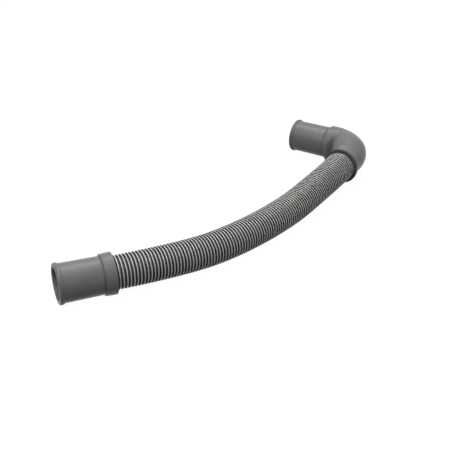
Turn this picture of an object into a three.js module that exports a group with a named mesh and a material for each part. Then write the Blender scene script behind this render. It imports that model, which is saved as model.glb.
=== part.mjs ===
// Drain hose: a ridged plastic hose with a straight cuff on one end and a 90 degree elbow on the other.
// Millimetres, +Z up. The hose lies on the plane z = 0, and the origin is below the middle of the whole.
import * as THREE from 'three';

// Sizes of the hose
const HOSE_RADIUS = 19;
const HOSE_BORE_RADIUS = 16;
const RIDGE_PITCH = 3.7;
const RIDGE_HEIGHT = 2;
const HOSE_SIDES = 20;
const BORE_STEP = 13;

// Route of the hose's centre line, from its end in the cuff to its end at the elbow
const ROUTE = [
  [-128.2, -166.3, 23.4],
  [-109.3, -159.1, 23.4],
  [-90.8, -150.8, 22.9],
  [-72.7, -141.5, 22.0],
  [-55.0, -131.6, 21.0],
  [-37.7, -121.2, 20.0],
  [-20.7, -110.1, 19.3],
  [-4.3, -98.1, 19.1],
  [11.3, -85.2, 19.1],
  [26.1, -71.4, 19.1],
  [40.4, -57.0, 19.1],
  [54.0, -42.0, 19.1],
  [67.0, -26.4, 19.1],
  [79.4, -10.4, 19.2],
  [91.3, 6.1, 19.8],
  [102.8, 22.8, 20.8],
  [114.2, 39.5, 21.9],
  [125.6, 56.3, 22.9],
  [136.5, 73.4, 23.6],
  [146.6, 91.0, 23.7],
];
const ROUTE_DIVISIONS = 2000;

// Clearance between pieces that touch
const FIT = 0.3;

// Sizes of the straight cuff
const CUFF_TUBE_LENGTH = 49.6;
const CUFF_MOUTH_RADIUS = 21.5;
const CUFF_ROOT_RADIUS = 21.0;
const CUFF_BORE_RADIUS = 18.2;
const CUFF_BEAD_HEIGHT = 1.4;
const CUFF_BEAD_WIDTH = 4.2;
const COLLAR_LENGTH = 12.9;
const COLLAR_NEAR_WALL = 3.5;
const COLLAR_FAR_WALL = 4.1;
const SOCKET_DEPTH = 10.8;
const SEAT_STEP = 0.5;
const SEAT_TAPER = 6;
const CUFF_SIDES = 32;

// Sizes of the elbow
const NECK_RADIUS = 20.0;
const NECK_LENGTH = 18.2;
const NECK_LIP_HEIGHT = 0.9;
const NECK_LIP_WIDTH = 2.4;
const NIPPLE_LENGTH = 15;
const NIPPLE_WALL = 2.2;
const NIPPLE_ROOT = 4.8;
const BEND_RADIUS = 39.7;
const BULGE_RADIUS = 23.7;
const SWELL_END = 0.45;
const DRAW_START = 0.68;
const SHOULDER_RADIUS = 22.6;
const SHOULDER_WIDTH = 3.8;
const SHOULDER_LEAD = 1.4;
const CREASE_DEPTH = 2;
const CREASE_LEAD = 7.4;
const CREASE_REACH = 10;
const SPIGOT_LENGTH = 53.4;
const SPIGOT_ROOT_RADIUS = 20.25;
const SPIGOT_MOUTH_RADIUS = 20.05;
const SPIGOT_BEAD_HEIGHT = 1.35;
const SPIGOT_BEAD_WIDTH = 4.2;
const ELBOW_WALL = 2.4;
const ELBOW_SIDES = 28;

// Sizes of the seal ring
const RING_WALL = 3.1;
const RING_WIDTH = 5.4;
const RING_CHAMFER = 1.2;
const RING_SIDES = 28;

// Shared by the moulded ends
const EDGE = 0.6;
const MOUTH_CHAMFER = 1.2;
const BEAD_STEPS = 6;
const BULGE_STEPS = 10;
const CREASE_STEPS = 4;

const UP = new THREE.Vector3(0, 0, 1);

const level = (v) => new THREE.Vector3(v.x, v.y, 0).normalize();
const along = (start, direction, distance) => start.clone().addScaledVector(direction, distance);

// Centre lines: each gives a point and a direction at a distance along it
const routePoints = ROUTE.map((p) => new THREE.Vector3(...p));
const hoseCurve = new THREE.CatmullRomCurve3(routePoints, false, 'catmullrom', 0.5);
hoseCurve.arcLengthDivisions = ROUTE_DIVISIONS;
const HOSE_LENGTH = hoseCurve.getLength();

const hoseLine = (d) => {
  const t = THREE.MathUtils.clamp(d / HOSE_LENGTH, 0, 1);
  return { point: hoseCurve.getPointAt(t), direction: hoseCurve.getTangentAt(t) };
};

const straightLine = (start, direction) => (d) => ({ point: along(start, direction, d), direction });

// The elbow's line runs straight on from the hose, turns left by a right angle and runs straight again
const elbowLine = (start, direction) => {
  const left = UP.clone().cross(direction);
  const bendStart = along(start, direction, NECK_LENGTH);
  const centre = along(bendStart, left, BEND_RADIUS);
  const arc = BEND_RADIUS * Math.PI / 2;
  return (d) => {
    if (d <= NECK_LENGTH) return { point: along(start, direction, d), direction };
    const past = Math.min(d - NECK_LENGTH, arc);
    const angle = past / BEND_RADIUS;
    const turned = direction.clone().multiplyScalar(Math.cos(angle)).addScaledVector(left, Math.sin(angle));
    const point = along(centre, left, -BEND_RADIUS * Math.cos(angle));
    point.addScaledVector(direction, BEND_RADIUS * Math.sin(angle));
    return { point: point.addScaledVector(turned, d - NECK_LENGTH - past), direction: turned };
  };
};

// A hollow turned form on a centre line; its profile is a closed loop of [distance, radius], outside first.
// The relief is how much deeper the surface lies at a distance and angle; angle 0 is to the right
const hollowForm = (line, profile, sides, relief = () => 0) => {
  const vertices = [];
  for (const [distance, fullRadius] of profile) {
    const { point, direction } = line(distance);
    const side = direction.clone().cross(UP).normalize();
    const top = side.clone().cross(direction);
    for (let j = 0; j < sides; j += 1) {
      const angle = 2 * Math.PI * j / sides;
      const radius = fullRadius - relief(distance, angle);
      const vertex = along(point, side, radius * Math.cos(angle));
      vertex.addScaledVector(top, radius * Math.sin(angle));
      vertices.push(...vertex.toArray());
    }
  }
  const faces = [];
  for (let i = 0; i < profile.length; i += 1) {
    const ring = i * sides;
    const nextRing = ((i + 1) % profile.length) * sides;
    for (let j = 0; j < sides; j += 1) {
      const k = (j + 1) % sides;
      faces.push(ring + j, nextRing + j, nextRing + k);
      faces.push(ring + j, nextRing + k, ring + k);
    }
  }
  const geometry = new THREE.BufferGeometry();
  geometry.setAttribute('position', new THREE.Float32BufferAttribute(vertices, 3));
  geometry.setIndex(faces);
  geometry.computeVertexNormals();
  return geometry;
};

// Pieces of profile
const steps = (from, to, count, radiusAt) => {
  const points = [];
  for (let i = 0; i <= count; i += 1) {
    const distance = from + (to - from) * i / count;
    points.push([distance, radiusAt(distance)]);
  }
  return points;
};

// A rounded bead at a mouth, from the tube outwards to the end face
const bead = (face, inward, tubeRadius, height, width) => {
  const points = [];
  for (let i = 0; i <= BEAD_STEPS; i += 1) {
    const angle = Math.PI * i / BEAD_STEPS;
    const distance = face + inward * width * (1 + Math.cos(angle)) / 2;
    points.push([distance, tubeRadius + height * Math.sin(angle)]);
  }
  return points;
};

const ease = (d, from, to) => THREE.MathUtils.smoothstep(d, from, to);

// The hose: ridges outside, a smooth bore inside
const hoseProfile = () => {
  const rootRadius = HOSE_RADIUS - RIDGE_HEIGHT;
  const ridges = Math.floor(HOSE_LENGTH / RIDGE_PITCH);
  const lead = (HOSE_LENGTH - ridges * RIDGE_PITCH) / 2;
  const profile = [[0, rootRadius]];
  for (let i = 0; i < ridges; i += 1) {
    const start = lead + i * RIDGE_PITCH;
    profile.push([start + RIDGE_PITCH / 2, HOSE_RADIUS]);
    if (i < ridges - 1) profile.push([start + RIDGE_PITCH, rootRadius]);
  }
  profile.push([HOSE_LENGTH, rootRadius]);
  const boreSteps = Math.round(HOSE_LENGTH / BORE_STEP);
  return profile.concat(steps(HOSE_LENGTH, 0, boreSteps, () => HOSE_BORE_RADIUS));
};

// The straight cuff, measured from its mouth: tube, stepped collar and a socket for the hose
const cuffProfile = () => {
  const end = CUFF_TUBE_LENGTH + COLLAR_LENGTH;
  const socketRadius = HOSE_RADIUS + FIT;
  const collarNear = socketRadius + COLLAR_NEAR_WALL;
  const collarFar = socketRadius + COLLAR_FAR_WALL;
  const seat = end - SOCKET_DEPTH;
  return [
    ...bead(0, 1, CUFF_MOUTH_RADIUS, CUFF_BEAD_HEIGHT, CUFF_BEAD_WIDTH).reverse(),
    [CUFF_TUBE_LENGTH, CUFF_ROOT_RADIUS],
    [CUFF_TUBE_LENGTH, collarNear - EDGE / 2],
    [CUFF_TUBE_LENGTH + EDGE / 2, collarNear],
    [end - EDGE, collarFar],
    [end, collarFar - EDGE],
    [end, socketRadius + EDGE],
    [end - EDGE, socketRadius],
    [seat, socketRadius],
    [seat, HOSE_BORE_RADIUS + SEAT_STEP],
    [seat - SEAT_TAPER, CUFF_BORE_RADIUS],
    [MOUTH_CHAMFER, CUFF_BORE_RADIUS],
    [0, CUFF_BORE_RADIUS + MOUTH_CHAMFER],
  ];
};

// The elbow, measured from the end face of its neck; the nipple lies behind that face, at negative distances
const bendEnd = NECK_LENGTH + BEND_RADIUS * Math.PI / 2;
const elbowEnd = bendEnd + SPIGOT_LENGTH;
const shoulderStart = bendEnd - SHOULDER_LEAD;
const shoulderEnd = shoulderStart + SHOULDER_WIDTH;
const crease = shoulderStart - CREASE_LEAD;

// The bend swells from the neck to the bulge and draws in again to the shoulder
const bendRadiusAt = (d) => {
  const arc = bendEnd - NECK_LENGTH;
  const swell = ease(d, NECK_LENGTH, NECK_LENGTH + arc * SWELL_END);
  const draw = ease(d, NECK_LENGTH + arc * DRAW_START, shoulderStart);
  return NECK_RADIUS + (BULGE_RADIUS - NECK_RADIUS) * swell - (BULGE_RADIUS - SHOULDER_RADIUS) * draw;
};

// The crease before the shoulder is deepest on the inner side of the bend and fades out on the outer side
const creaseRelief = (d, angle) => {
  const dip = ease(d, crease - CREASE_REACH, crease) - ease(d, crease, shoulderStart);
  const innerShare = (1 - Math.cos(angle)) / 2;
  return CREASE_DEPTH * dip * innerShare ** 2;
};

const elbowProfile = () => {
  const nippleRadius = HOSE_BORE_RADIUS - FIT;
  const nippleBore = nippleRadius - NIPPLE_WALL;
  const lipRadius = NECK_RADIUS + NECK_LIP_HEIGHT;
  const neckBore = NECK_RADIUS - ELBOW_WALL;
  const spigotBore = SPIGOT_MOUTH_RADIUS - ELBOW_WALL;
  const boreAt = (d) => bendRadiusAt(d) - ELBOW_WALL;
  return [
    [-NIPPLE_LENGTH, nippleRadius - MOUTH_CHAMFER],
    [MOUTH_CHAMFER - NIPPLE_LENGTH, nippleRadius],
    [0, nippleRadius],
    [0, lipRadius - EDGE],
    [EDGE, lipRadius],
    [NECK_LIP_WIDTH - EDGE, lipRadius],
    [NECK_LIP_WIDTH, NECK_RADIUS],
    ...steps(NECK_LENGTH, crease, BULGE_STEPS, bendRadiusAt),
    ...steps(crease, shoulderStart, CREASE_STEPS, bendRadiusAt).slice(1),
    [shoulderEnd - EDGE, SHOULDER_RADIUS],
    [shoulderEnd + EDGE, SPIGOT_ROOT_RADIUS],
    ...bead(elbowEnd, -1, SPIGOT_MOUTH_RADIUS, SPIGOT_BEAD_HEIGHT, SPIGOT_BEAD_WIDTH),
    [elbowEnd, spigotBore + MOUTH_CHAMFER],
    [elbowEnd - MOUTH_CHAMFER, spigotBore],
    [shoulderEnd, spigotBore],
    ...steps(shoulderStart, crease, CREASE_STEPS, boreAt),
    ...steps(crease, NECK_LENGTH, BULGE_STEPS, boreAt).slice(1),
    [NIPPLE_ROOT, neckBore],
    [NECK_LIP_WIDTH, nippleBore],
    [-NIPPLE_LENGTH, nippleBore],
  ];
};

// The seal ring, measured from the end face of the neck, on the hose's last ridges
const ringProfile = () => {
  const front = -FIT - RING_WIDTH;
  const boreRadius = HOSE_RADIUS + FIT;
  const ringRadius = boreRadius + RING_WALL;
  return [
    [front, boreRadius + EDGE],
    [front, ringRadius - RING_CHAMFER],
    [front + RING_CHAMFER, ringRadius],
    [-FIT - EDGE, ringRadius],
    [-FIT, ringRadius - EDGE],
    [-FIT, boreRadius],
    [front + EDGE, boreRadius],
  ];
};

// Colours and finishes
const greyPlastic = () => new THREE.MeshStandardMaterial({ color: 0x6f7070, roughness: 0.5, metalness: 0 });
const blackRubber = () => new THREE.MeshStandardMaterial({ color: 0x202020, roughness: 0.7, metalness: 0 });

const piece = (name, geometry, material) => {
  const mesh = new THREE.Mesh(geometry, material);
  mesh.name = name;
  return mesh;
};

// Assembly: the cuff lies in line with one end of the hose, the elbow with the other, both level
const hoseStart = hoseLine(0);
const hoseEnd = hoseLine(HOSE_LENGTH);
const cuffDirection = level(hoseStart.direction);
const seatToMouth = CUFF_TUBE_LENGTH + COLLAR_LENGTH - SOCKET_DEPTH + FIT;
const cuffMouth = along(hoseStart.point, cuffDirection, -seatToMouth);
const neckDirection = level(hoseEnd.direction);
const neckFace = along(hoseEnd.point, neckDirection, FIT);

const cuffLine = straightLine(cuffMouth, cuffDirection);
const bendLine = elbowLine(neckFace, neckDirection);

const drainHose = new THREE.Group();
drainHose.name = 'drain_hose';
drainHose.add(
  piece('corrugated_hose', hollowForm(hoseLine, hoseProfile(), HOSE_SIDES), greyPlastic()),
  piece('straight_cuff', hollowForm(cuffLine, cuffProfile(), CUFF_SIDES), greyPlastic()),
  piece('elbow', hollowForm(bendLine, elbowProfile(), ELBOW_SIDES, creaseRelief), greyPlastic()),
  piece('seal_ring', hollowForm(bendLine, ringProfile(), RING_SIDES), blackRubber()),
);

export default drainHose;
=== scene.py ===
# Drain hose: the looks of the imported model, in a plain white studio like the photograph's.
# Sizes are in millimetres in the code and become metres in the meshes.
import math

import bpy
import numpy as np
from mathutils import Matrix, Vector


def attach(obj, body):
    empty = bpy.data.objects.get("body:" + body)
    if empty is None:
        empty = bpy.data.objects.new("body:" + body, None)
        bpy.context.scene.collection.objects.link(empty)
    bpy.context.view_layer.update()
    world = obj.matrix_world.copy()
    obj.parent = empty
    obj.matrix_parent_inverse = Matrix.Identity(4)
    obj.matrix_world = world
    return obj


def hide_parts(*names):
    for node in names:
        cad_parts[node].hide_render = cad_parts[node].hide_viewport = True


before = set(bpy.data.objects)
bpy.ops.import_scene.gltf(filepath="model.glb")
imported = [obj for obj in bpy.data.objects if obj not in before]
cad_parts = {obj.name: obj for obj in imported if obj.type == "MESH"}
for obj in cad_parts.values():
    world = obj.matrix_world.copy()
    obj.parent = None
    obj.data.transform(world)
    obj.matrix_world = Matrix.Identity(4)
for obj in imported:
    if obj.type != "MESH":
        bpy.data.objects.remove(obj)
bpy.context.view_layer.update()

MM = 0.001

# Sizes of the hose; its grooves are deeper and its ridges rounder than the model's
HOSE_RADIUS = 19.0
HOSE_BORE_RADIUS = 16.0
RIDGE_PITCH = 3.7
GROOVE_RADIUS = 16.3
CREST_SHARE = 0.56
GROOVE_SHARE = 0.85
CREST_POWER = 0.6
CREST_STEPS = 10
HOSE_SIDES = 72
BORE_STEP = 3.7

# Route of the hose's centre line, the same points as in the model
ROUTE = [
    (-128.2, -166.3, 23.4),
    (-109.3, -159.1, 23.4),
    (-90.8, -150.8, 22.9),
    (-72.7, -141.5, 22.0),
    (-55.0, -131.6, 21.0),
    (-37.7, -121.2, 20.0),
    (-20.7, -110.1, 19.3),
    (-4.3, -98.1, 19.1),
    (11.3, -85.2, 19.1),
    (26.1, -71.4, 19.1),
    (40.4, -57.0, 19.1),
    (54.0, -42.0, 19.1),
    (67.0, -26.4, 19.1),
    (79.4, -10.4, 19.2),
    (91.3, 6.1, 19.8),
    (102.8, 22.8, 20.8),
    (114.2, 39.5, 21.9),
    (125.6, 56.3, 22.9),
    (136.5, 73.4, 23.6),
    (146.6, 91.0, 23.7),
]
ROUTE_DIVISIONS = 2000
PATH_STEPS = 200

# Clearance between pieces that touch
FIT = 0.3

# Sizes of the straight cuff
CUFF_TUBE_LENGTH = 49.6
CUFF_MOUTH_RADIUS = 21.5
CUFF_ROOT_RADIUS = 21.0
CUFF_BORE_RADIUS = 18.2
CUFF_BEAD_HEIGHT = 1.4
CUFF_BEAD_WIDTH = 5.6
CUFF_LIP_ROUND = 2.2
SEAM_WIDTH = 1.5
SEAM_DEPTH = 0.6
COLLAR_LENGTH = 12.9
COLLAR_EDGE_ROUND = 1.3
COLLAR_NEAR_RADIUS = 22.8
COLLAR_FAR_RADIUS = 23.4
SOCKET_DEPTH = 10.8
SEAT_RADIUS = 16.5
SEAT_TAPER = 6.0

# Sizes of the elbow
NECK_RADIUS = 20.0
NECK_LENGTH = 18.2
NECK_LIP_HEIGHT = 0.9
NECK_LIP_WIDTH = 2.4
NIPPLE_LENGTH = 15.0
NIPPLE_WALL = 2.2
NIPPLE_ROOT = 4.8
BEND_RADIUS = 39.7
BULGE_RADIUS = 23.7
BULGE_STEPS = 48
SWELL_END = 0.45
DRAW_START = 0.68
SHOULDER_RADIUS = 22.6
SHOULDER_WIDTH = 3.8
SHOULDER_LEAD = 1.4
SHOULDER_ROUND = 1.2
CROWN_HEIGHT = 0.6
CROWN_MIDDLE = 76.0
CROWN_REACH = 9.0
CROWN_STEPS = 6
CREASE_DEPTH = 7.5
CREASE_LEAD = 14.5
CREASE_REACH = 30.0
CREASE_RISE = 14.0
CREASE_FALL_POWER = 1.7
CREASE_RISE_POWER = 2.4
CREASE_SIDE_POWER = 3.0
CREASE_STEPS = 30
SPIGOT_LENGTH = 53.4
SPIGOT_ROOT_RADIUS = 20.25
ROOT_DEPTH = 1.7
ROOT_WIDTH = 4.6
ROOT_STEPS = 8
SPIGOT_MOUTH_RADIUS = 20.05
SPIGOT_BEAD_HEIGHT = 1.35
SPIGOT_BEAD_WIDTH = 4.2
ELBOW_WALL = 2.4

# Sizes of the seal ring
RING_RADIUS = 22.8
RING_WIDTH = 2.8

# Shared by the moulded ends and the ring
SMALL_ROUND = 0.35
EDGE_ROUND = 0.6
MOUTH_ROUND = 1.0
ROUND_SHARE = 0.45
BEAD_STEPS = 14
ROUND_STEPS = 4
END_SIDES = 128
SHARP_ANGLE = math.radians(50)

# Camera, fitted to the photograph
CAMERA_TARGET = (5.945, -72.028, 23.0)
CAMERA_DISTANCE = 1141.8
CAMERA_ELEVATION = math.radians(30.09)
FOCAL_PIXELS = 1000.0
PICTURE_SIDE = 460.0
SENSOR = 36.0
CENTRE_OFFSET = 0.5
CLIP_START = 0.05
CLIP_END = 50.0

# Noise in the materials: its scale and detail, and the values that count as its lowest and highest
MOTTLE_NOISE = (60.0, 5.0)
GLOSS_NOISE = (220.0, 4.0)
GRAIN_DETAIL = 2.0
NOISE_LOW = 0.3
NOISE_HIGH = 0.7
BUMP_STRENGTH = 1.0
REFRACTIVE_INDEX = 1.47

# Floor, world and lamps, in metres and watts; a lamp is given by name, place and power
FLOOR_HALF = 5.0
FLOOR_COLOUR = (0.1, 0.1, 0.1, 1.0)
FLOOR_GLOW = 0.98
WHITE = (1.0, 1.0, 1.0, 1.0)
FILL_STRENGTH = 0.03
WHITE_STRENGTH = 1.0
LAMP_SIDE = 0.7
LAMP_AIM = (0.0, 0.0, 0.02)
LAMPS = [
    ("top_light", (0.0, 0.0, 1.3), 3.5),
    ("back_light", (0.0, 0.55, 1.18), 9.0),
    ("front_left_light", (-0.35, -0.64, 1.07), 9.0),
    ("right_light", (1.2, -0.2, 0.2), 2.4),
]

UP = np.array([0.0, 0.0, 1.0])


# Camera
def make_camera():
    """The camera looks at the target from in front and above, as in the photograph."""
    data = bpy.data.cameras.new("camera")
    data.sensor_width = SENSOR
    data.lens = SENSOR * FOCAL_PIXELS / PICTURE_SIDE
    data.shift_x = -CENTRE_OFFSET / PICTURE_SIDE
    data.shift_y = CENTRE_OFFSET / PICTURE_SIDE
    data.clip_start = CLIP_START
    data.clip_end = CLIP_END
    camera = bpy.data.objects.new("camera", data)
    bpy.context.scene.collection.objects.link(camera)
    back = CAMERA_DISTANCE * math.cos(CAMERA_ELEVATION)
    height = CAMERA_DISTANCE * math.sin(CAMERA_ELEVATION)
    x, y, z = CAMERA_TARGET
    camera.location = (x * MM, (y - back) * MM, (z + height) * MM)
    camera.rotation_euler = (math.pi / 2 - CAMERA_ELEVATION, 0.0, 0.0)
    bpy.context.scene.camera = camera


# Centre lines: each gives a point and a direction at a distance along it
def unit(v):
    return v / np.linalg.norm(v)


class HoseLine:
    """The smooth curve through the route's points, measured by its length."""

    def __init__(self, points):
        self.points = [np.array(p) for p in points]
        samples = [self.at(i / ROUTE_DIVISIONS)[0] for i in range(ROUTE_DIVISIONS + 1)]
        steps = np.linalg.norm(np.diff(samples, axis=0), axis=1)
        self.lengths = np.concatenate([[0.0], np.cumsum(steps)])
        self.length = float(self.lengths[-1])

    def at(self, t):
        spans = len(self.points) - 1
        i = min(int(t * spans), spans - 1)
        w = t * spans - i
        p1, p2 = self.points[i], self.points[i + 1]
        p0 = self.points[i - 1] if i > 0 else 2 * p1 - p2
        p3 = self.points[i + 2] if i < spans - 1 else 2 * p2 - p1
        t0, t1 = (p2 - p0) / 2, (p3 - p1) / 2
        c2 = 3 * (p2 - p1) - 2 * t0 - t1
        c3 = 2 * (p1 - p2) + t0 + t1
        point = p1 + t0 * w + c2 * w ** 2 + c3 * w ** 3
        slope = t0 + 2 * c2 * w + 3 * c3 * w ** 2
        return point, slope

    def __call__(self, distance):
        d = min(max(distance, 0.0), self.length)
        t = float(np.interp(d, self.lengths, np.linspace(0, 1, ROUTE_DIVISIONS + 1)))
        point, slope = self.at(t)
        return point, unit(slope)


def straight_line(start, direction):
    return lambda d: (start + direction * d, direction)


def elbow_line(start, direction):
    """Straight out of the hose, then a quarter circle to the left, then straight on."""
    left = np.cross(UP, direction)
    centre = start + direction * NECK_LENGTH + left * BEND_RADIUS
    arc = BEND_RADIUS * math.pi / 2

    def line(d):
        if d <= NECK_LENGTH:
            return start + direction * d, direction
        past = min(d - NECK_LENGTH, arc)
        angle = past / BEND_RADIUS
        turned = direction * math.cos(angle) + left * math.sin(angle)
        outward = direction * math.sin(angle) - left * math.cos(angle)
        return centre + outward * BEND_RADIUS + turned * (d - NECK_LENGTH - past), turned

    return line


def level(v):
    return unit(np.array([v[0], v[1], 0.0]))


hose_line = HoseLine(ROUTE)
hose_start, start_direction = hose_line(0.0)
hose_end, end_direction = hose_line(hose_line.length)
cuff_direction = level(start_direction)
cuff_length = CUFF_TUBE_LENGTH + COLLAR_LENGTH
cuff_mouth = hose_start - cuff_direction * (cuff_length - SOCKET_DEPTH + FIT)
neck_direction = level(end_direction)
neck_face = hose_end + neck_direction * FIT


# Meshes
def no_relief(distance, angle):
    return 0.0


def hollow_form(name, line, profile, sides, relief=no_relief):
    """A turned form on a centre line.

    Its profile is a closed loop of (distance, radius), outside first. The relief says how much deeper
    a place at a distance and angle lies; angle 0 is to the right.
    """
    vertices = []
    for distance, full_radius in profile:
        point, direction = line(distance)
        side = unit(np.cross(direction, UP))
        top = np.cross(side, direction)
        for j in range(sides):
            angle = 2 * math.pi * j / sides
            radius = full_radius - relief(distance, angle)
            spoke = side * math.cos(angle) + top * math.sin(angle)
            vertices.append((point + spoke * radius) * MM)
    faces = []
    for i in range(len(profile)):
        ring = i * sides
        after = ((i + 1) % len(profile)) * sides
        for j in range(sides):
            k = (j + 1) % sides
            faces.append((ring + j, after + j, after + k, ring + k))
    mesh = bpy.data.meshes.new(name)
    mesh.from_pydata([tuple(v) for v in vertices], [], faces)
    mesh.shade_smooth()
    mesh.set_sharp_from_angle(angle=SHARP_ANGLE)
    piece = bpy.data.objects.new(name, mesh)
    bpy.context.scene.collection.objects.link(piece)
    return piece


# Parts of a profile
def rounded(corners):
    """A closed profile whose corners, given as (distance, radius, rounding), are rounded off.

    A rounding takes up no more than ROUND_SHARE of the shorter side beside it.
    """
    profile = []
    count = len(corners)
    for i, (distance, radius, rounding) in enumerate(corners):
        here = np.array([distance, radius])
        if rounding <= 0:
            profile.append((distance, radius))
            continue
        before = np.array(corners[i - 1][:2]) - here
        after = np.array(corners[(i + 1) % count][:2]) - here
        shorter = min(np.linalg.norm(before), np.linalg.norm(after))
        reach = min(rounding, ROUND_SHARE * shorter)
        start = here + unit(before) * reach
        end = here + unit(after) * reach
        for step in range(ROUND_STEPS + 1):
            w = step / ROUND_STEPS
            p = start * (1 - w) ** 2 + here * 2 * w * (1 - w) + end * w ** 2
            profile.append((p[0], p[1]))
    return profile


def bead(face, inward, tube_radius, height, width):
    """A rounded bead at a mouth, from the tube outwards to the end face."""
    points = []
    for i in range(BEAD_STEPS + 1):
        angle = math.pi * i / BEAD_STEPS
        distance = face + inward * width * (1 + math.cos(angle)) / 2
        points.append((distance, tube_radius + height * math.sin(angle), 0))
    return points


def clamped(x):
    return min(max(x, 0.0), 1.0)


def smooth_step(x, low, high):
    w = clamped((x - low) / (high - low))
    return w * w * (3 - 2 * w)


# The hose: rounded ridges with deep grooves between them, and a smooth bore
def hose_profile():
    length = hose_line.length
    ridges = int(length // RIDGE_PITCH)
    lead = (length - ridges * RIDGE_PITCH) / 2
    crest = RIDGE_PITCH * CREST_SHARE / 2
    depth = HOSE_RADIUS - GROOVE_RADIUS
    profile = [(0.0, GROOVE_RADIUS)]
    for i in range(ridges):
        middle = lead + (i + 0.5) * RIDGE_PITCH
        for step in range(CREST_STEPS + 1):
            angle = math.pi * step / CREST_STEPS
            height = depth * math.sin(angle) ** CREST_POWER
            profile.append((middle - crest * math.cos(angle), GROOVE_RADIUS + height))
    profile.append((length, GROOVE_RADIUS))
    bore_steps = round(length / BORE_STEP)
    for i in range(bore_steps + 1):
        profile.append((length * (1 - i / bore_steps), HOSE_BORE_RADIUS))
    return profile


def paint_shade_in_grooves(hose):
    """Gives the floors and the lower walls of the grooves the second material, a dark painted shade."""
    profile = hose_profile()
    limit = GROOVE_RADIUS + GROOVE_SHARE * (HOSE_RADIUS - GROOVE_RADIUS)
    for i, (_, radius) in enumerate(profile):
        following = profile[(i + 1) % len(profile)][1]
        # Faces deep in a groove get the painted shade
        in_groove = HOSE_BORE_RADIUS < min(radius, following) and (radius + following) / 2 < limit
        for j in range(HOSE_SIDES):
            hose.data.polygons[i * HOSE_SIDES + j].material_index = int(in_groove)


def cuff_profile():
    end = cuff_length
    socket = HOSE_RADIUS + FIT
    seat = end - SOCKET_DEPTH
    tube = CUFF_TUBE_LENGTH
    mouth_bead = bead(0.0, 1, CUFF_MOUTH_RADIUS, CUFF_BEAD_HEIGHT, CUFF_BEAD_WIDTH)
    mouth_bead.reverse()
    return rounded(
        mouth_bead
        + [
            (tube - SEAM_WIDTH, CUFF_ROOT_RADIUS, SMALL_ROUND),
            (tube - SEAM_WIDTH / 2, CUFF_ROOT_RADIUS - SEAM_DEPTH, SMALL_ROUND),
            (tube, CUFF_ROOT_RADIUS - SEAM_DEPTH, SMALL_ROUND),
            (tube, COLLAR_NEAR_RADIUS, EDGE_ROUND),
            (end, COLLAR_FAR_RADIUS, COLLAR_EDGE_ROUND),
            (end, socket, EDGE_ROUND),
            (seat, socket, 0),
            (seat, SEAT_RADIUS, 0),
            (seat - SEAT_TAPER, CUFF_BORE_RADIUS, SMALL_ROUND),
            (0.0, CUFF_BORE_RADIUS, CUFF_LIP_ROUND),
        ]
    )


bend_end = NECK_LENGTH + BEND_RADIUS * math.pi / 2
elbow_end = bend_end + SPIGOT_LENGTH
shoulder_start = bend_end - SHOULDER_LEAD
shoulder_end = shoulder_start + SHOULDER_WIDTH
crease = shoulder_start - CREASE_LEAD
neck_front = RING_WIDTH + FIT


def crown(d):
    """How much the bend's end and the shoulder's band rise in a slight crown."""
    return CROWN_HEIGHT * max(0.0, 1 - ((d - CROWN_MIDDLE) / CROWN_REACH) ** 2)


def bend_radius_at(d):
    """The bend swells from the neck to the bulge and draws in again to the shoulder."""
    arc = bend_end - NECK_LENGTH
    swell = smooth_step(d, NECK_LENGTH, NECK_LENGTH + arc * SWELL_END)
    draw = smooth_step(d, NECK_LENGTH + arc * DRAW_START, shoulder_start)
    swollen = NECK_RADIUS + (BULGE_RADIUS - NECK_RADIUS) * swell
    return swollen - (BULGE_RADIUS - SHOULDER_RADIUS) * draw + crown(d)


def crease_relief(d, angle):
    """The crease before the shoulder is deepest on the bend's inner side and fades out on the outer side."""
    fall = clamped(1 + (d - crease) / CREASE_REACH) ** CREASE_FALL_POWER
    rise = clamped(1 - (d - crease) / CREASE_RISE) ** CREASE_RISE_POWER
    inner_share = (1 - math.cos(angle)) / 2
    return CREASE_DEPTH * fall * rise * inner_share ** CREASE_SIDE_POWER


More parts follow.
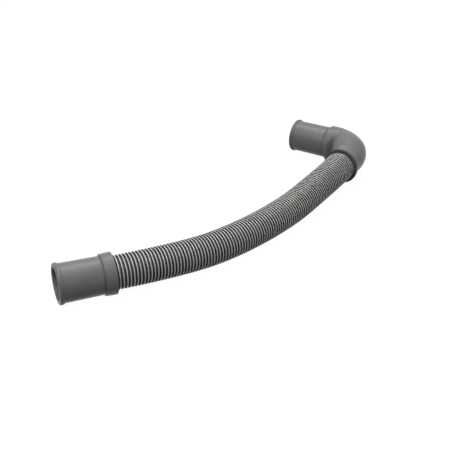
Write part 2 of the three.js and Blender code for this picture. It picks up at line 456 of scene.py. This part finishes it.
def elbow_profile():
    nipple = HOSE_BORE_RADIUS - FIT
    nipple_bore = nipple - NIPPLE_WALL
    lip = NECK_RADIUS + NECK_LIP_HEIGHT
    neck_bore = NECK_RADIUS - ELBOW_WALL
    spigot_bore = SPIGOT_MOUTH_RADIUS - ELBOW_WALL
    steps = list(np.linspace(NECK_LENGTH, crease, BULGE_STEPS + 1))
    steps += list(np.linspace(crease, shoulder_start, CREASE_STEPS + 1))[1:]
    corners = [
        (-NIPPLE_LENGTH, nipple, EDGE_ROUND),
        (neck_front, nipple, 0),
        (neck_front, lip, EDGE_ROUND),
        (neck_front + NECK_LIP_WIDTH, lip, EDGE_ROUND),
        (neck_front + NECK_LIP_WIDTH, NECK_RADIUS, SMALL_ROUND),
    ]
    corners += [(d, bend_radius_at(d), 0) for d in steps[:-1]]
    corners += [
        (d, SHOULDER_RADIUS + crown(d), 0)
        for d in np.linspace(shoulder_start, shoulder_end, CROWN_STEPS + 1)[:-1]
    ]
    corners += [
        (shoulder_end, SHOULDER_RADIUS + crown(shoulder_end), SHOULDER_ROUND),
        (shoulder_end + EDGE_ROUND, SPIGOT_ROOT_RADIUS - ROOT_DEPTH, 0),
    ]
    for i in range(1, ROOT_STEPS + 1):
        w = i / ROOT_STEPS
        depth = ROOT_DEPTH * (1 - smooth_step(w, 0, 1))
        corners.append((shoulder_end + EDGE_ROUND + ROOT_WIDTH * w, SPIGOT_ROOT_RADIUS - depth, 0))
    corners += bead(elbow_end, -1, SPIGOT_MOUTH_RADIUS, SPIGOT_BEAD_HEIGHT, SPIGOT_BEAD_WIDTH)
    corners += [
        (elbow_end, spigot_bore, MOUTH_ROUND),
        (shoulder_end, spigot_bore, SMALL_ROUND),
    ]
    corners += [(d, bend_radius_at(d) - ELBOW_WALL, 0) for d in reversed(steps)]
    corners += [
        (neck_front + NIPPLE_ROOT, neck_bore, SMALL_ROUND),
        (neck_front + NECK_LIP_WIDTH, nipple_bore, SMALL_ROUND),
        (-NIPPLE_LENGTH, nipple_bore, SMALL_ROUND),
    ]
    return rounded(corners)


def ring_profile():
    """A washer round the nipple, between the end of the hose and the neck."""
    bore = HOSE_BORE_RADIUS
    return rounded(
        [
            (0.0, bore, SMALL_ROUND),
            (0.0, RING_RADIUS, SMALL_ROUND),
            (RING_WIDTH, RING_RADIUS, SMALL_ROUND),
            (RING_WIDTH, bore, SMALL_ROUND),
        ]
    )


# Materials
def new_material(name):
    material = bpy.data.materials.new(name)
    material.use_nodes = True
    nodes = material.node_tree.nodes
    nodes.clear()
    output = nodes.new("ShaderNodeOutputMaterial")
    return material, nodes, material.node_tree.links, output


def noise(nodes, links, coordinates, scale, detail):
    """A noise texture fixed to the object."""
    node = nodes.new("ShaderNodeTexNoise")
    node.inputs["Scale"].default_value = scale
    node.inputs["Detail"].default_value = detail
    links.new(coordinates.outputs["Object"], node.inputs["Vector"])
    return node


def spread(nodes, links, source, low, high):
    """Maps a noise to values from low to high."""
    node = nodes.new("ShaderNodeMapRange")
    node.inputs["From Min"].default_value = NOISE_LOW
    node.inputs["From Max"].default_value = NOISE_HIGH
    node.inputs["To Min"].default_value = low
    node.inputs["To Max"].default_value = high
    links.new(source.outputs["Fac"], node.inputs["Value"])
    return node


def moulded(name, dark, light, rough, grain, specular):
    """Moulded plastic or rubber: a slight mottle, uneven gloss and a fine grain.

    Rough is the lowest and the highest roughness, grain the size and the height of the grain.
    """
    material, nodes, links, output = new_material(name)
    coordinates = nodes.new("ShaderNodeTexCoord")
    shader = nodes.new("ShaderNodeBsdfPrincipled")
    links.new(shader.outputs["BSDF"], output.inputs["Surface"])
    mottle = noise(nodes, links, coordinates, *MOTTLE_NOISE)
    blend = nodes.new("ShaderNodeMix")
    blend.data_type = "RGBA"
    blend.inputs["A"].default_value = (*dark, 1.0)
    blend.inputs["B"].default_value = (*light, 1.0)
    share = spread(nodes, links, mottle, 0.0, 1.0)
    links.new(share.outputs["Result"], blend.inputs["Factor"])
    links.new(blend.outputs["Result"], shader.inputs["Base Color"])
    gloss = noise(nodes, links, coordinates, *GLOSS_NOISE)
    roughness = spread(nodes, links, gloss, *rough)
    links.new(roughness.outputs["Result"], shader.inputs["Roughness"])
    grain_size, grain_height = grain
    grains = noise(nodes, links, coordinates, 1.0 / (grain_size * MM), GRAIN_DETAIL)
    bump = nodes.new("ShaderNodeBump")
    bump.inputs["Strength"].default_value = BUMP_STRENGTH
    bump.inputs["Distance"].default_value = grain_height * MM
    links.new(grains.outputs["Fac"], bump.inputs["Height"])
    links.new(bump.outputs["Normal"], shader.inputs["Normal"])
    shader.inputs["IOR"].default_value = REFRACTIVE_INDEX
    shader.inputs["Specular IOR Level"].default_value = specular
    return material


make_camera()

plastic = moulded(
    "grey_plastic",
    dark=(0.154, 0.156, 0.153),
    light=(0.174, 0.176, 0.173),
    rough=(0.28, 0.34),
    grain=(0.5, 0.01),
    specular=0.22,
)
# The hose's grey for the crests and upper walls, made lighter: partly its own colour, partly painted light
crest_plastic_painted_light = moulded(
    "hose_plastic_and_painted_light",
    dark=(0.475, 0.475, 0.454),
    light=(0.515, 0.515, 0.493),
    rough=(0.3, 0.36),
    grain=(0.5, 0.01),
    specular=1.0,
)
# Painted shade: a dark copy of the hose's plastic for the floors and lower walls of the grooves
painted_groove_shade = moulded(
    "painted_groove_shade",
    dark=(0.068, 0.068, 0.068),
    light=(0.082, 0.082, 0.082),
    rough=(0.5, 0.6),
    grain=(0.5, 0.01),
    specular=0.2,
)
rubber = moulded(
    "black_rubber",
    dark=(0.085, 0.085, 0.085),
    light=(0.1, 0.1, 0.1),
    rough=(0.6, 0.7),
    grain=(0.4, 0.02),
    specular=0.2,
)

# The hose comes first
hose = hollow_form("ridged_hose", hose_line, hose_profile(), HOSE_SIDES)
hose.data.materials.append(crest_plastic_painted_light)
hose.data.materials.append(painted_groove_shade)
# The deep parts of the grooves get the painted shade, the crests the lighter plastic
paint_shade_in_grooves(hose)
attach(hose, "root")
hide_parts("corrugated_hose")

bend_line = elbow_line(neck_face, neck_direction)
cuff = hollow_form("cuff_body", straight_line(cuff_mouth, cuff_direction), cuff_profile(), END_SIDES)
elbow = hollow_form("elbow_body", bend_line, elbow_profile(), END_SIDES, crease_relief)
ring = hollow_form("rubber_ring", bend_line, ring_profile(), END_SIDES)
for piece, node, material, slot in (
    (cuff, "straight_cuff", plastic, "grey_plastic"),
    (elbow, "elbow", plastic, "grey_plastic"),
    (ring, "seal_ring", rubber, "black_rubber"),
):
    piece.data.materials.append(material)
    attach(piece, "root")
    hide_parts(node)

path = [tuple(hose_line(hose_line.length * i / PATH_STEPS)[0] * MM) for i in range(PATH_STEPS + 1)]


# Studio
def add_up(nodes, links, first, second):
    """The sum of two values, at most 1."""
    node = nodes.new("ShaderNodeMath")
    node.operation = "ADD"
    node.use_clamp = True
    links.new(first, node.inputs[0])
    links.new(second, node.inputs[1])
    return node.outputs[0]


def split_by_ray(nodes, links, others, seen, output):
    """Shows one shader to rays from the camera, in gloss and through glass, and the other to the rest."""
    rays = nodes.new("ShaderNodeLightPath").outputs
    looks = add_up(nodes, links, rays["Is Camera Ray"], rays["Is Glossy Ray"])
    looks = add_up(nodes, links, looks, rays["Is Transmission Ray"])
    mix = nodes.new("ShaderNodeMixShader")
    links.new(looks, mix.inputs["Fac"])
    links.new(others.outputs[0], mix.inputs[1])
    links.new(seen.outputs[0], mix.inputs[2])
    links.new(mix.outputs[0], output.inputs["Surface"])


def make_floor():
    """A floor that looks white and keeps the object's shadow."""
    half = FLOOR_HALF
    corners = [(-half, -half, 0), (half, -half, 0), (half, half, 0), (-half, half, 0)]
    mesh = bpy.data.meshes.new("floor")
    mesh.from_pydata(corners, [], [(0, 1, 2, 3)])
    floor = bpy.data.objects.new("floor", mesh)
    bpy.context.scene.collection.objects.link(floor)
    material, nodes, links, output = new_material("white_floor")
    matt = nodes.new("ShaderNodeBsdfDiffuse")
    matt.inputs["Color"].default_value = FLOOR_COLOUR
    glow = nodes.new("ShaderNodeEmission")
    glow.inputs["Strength"].default_value = FLOOR_GLOW
    both = nodes.new("ShaderNodeAddShader")
    links.new(matt.outputs[0], both.inputs[0])
    links.new(glow.outputs[0], both.inputs[1])
    split_by_ray(nodes, links, matt, both, output)
    mesh.materials.append(material)


def background(nodes, strength):
    """Plain white light from all around."""
    node = nodes.new("ShaderNodeBackground")
    node.inputs["Color"].default_value = WHITE
    node.inputs["Strength"].default_value = strength
    return node


def make_world():
    """A world that looks white and lights the object only faintly."""
    world = bpy.data.worlds.new("studio")
    bpy.context.scene.world = world
    world.use_nodes = True
    nodes = world.node_tree.nodes
    nodes.clear()
    output = nodes.new("ShaderNodeOutputWorld")
    fill = background(nodes, FILL_STRENGTH)
    white = background(nodes, WHITE_STRENGTH)
    split_by_ray(nodes, world.node_tree.links, fill, white, output)


def make_lamp(name, place, power):
    """A square lamp that faces the object."""
    data = bpy.data.lights.new(name, "AREA")
    data.shape = "RECTANGLE"
    data.size = LAMP_SIDE
    data.size_y = LAMP_SIDE
    data.energy = power
    lamp = bpy.data.objects.new(name, data)
    bpy.context.scene.collection.objects.link(lamp)
    lamp.location = place
    aim = Vector(LAMP_AIM) - Vector(place)
    lamp.rotation_mode = "QUATERNION"
    lamp.rotation_quaternion = aim.to_track_quat("-Z", "Y")


make_floor()
make_world()
for lamp_name, place, power in LAMPS:
    make_lamp(lamp_name, place, power)

scene = bpy.context.scene
scene.view_settings.view_transform = "Standard"
